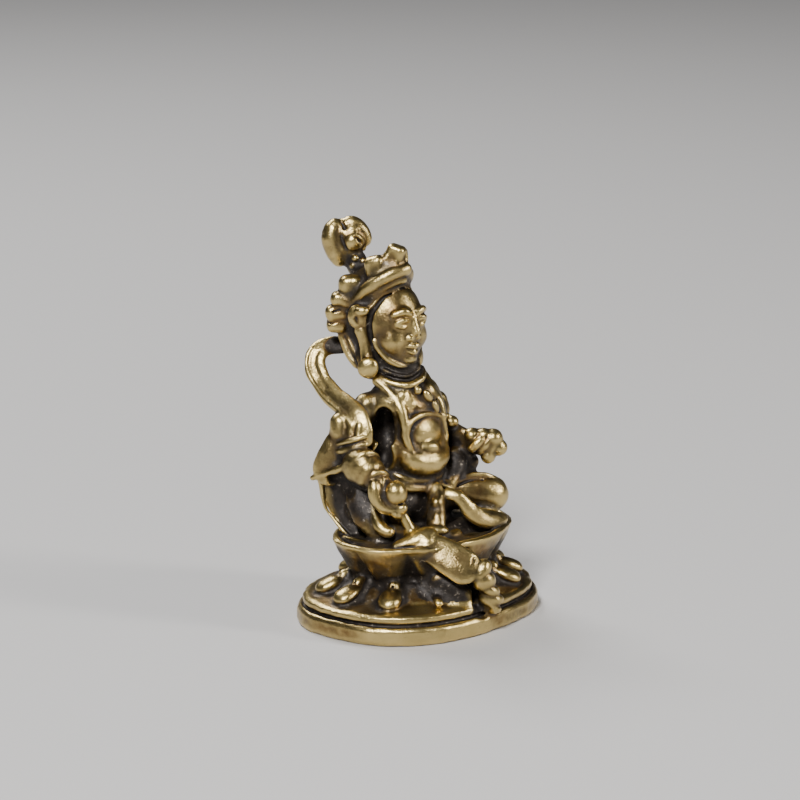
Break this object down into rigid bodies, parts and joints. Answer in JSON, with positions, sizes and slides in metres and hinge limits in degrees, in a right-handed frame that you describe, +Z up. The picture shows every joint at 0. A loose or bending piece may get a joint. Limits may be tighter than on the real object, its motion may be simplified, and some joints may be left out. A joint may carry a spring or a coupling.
{
  "type": "jambhala statue",
  "caption": "Small solid brass figure of a seated pot-bellied wealth deity with fruit and mongoose, looped scarf, lotus seat and oval base; stands on its underside.",
  "frame": {"origin": "middle of the flat oval underside of the base", "axes": "+Z up; the figure faces -Y and its own right side is towards -X"},
  "size_m": [0.0248, 0.0211, 0.0377],
  "materials": {
    "aged_brass": "solid cast brass, worn bright on the high places, dark brown patina in the recesses"
  },
  "bodies": {
    "root": {"jambhala_statue": "aged_brass"}
  },
  "joints": []
}
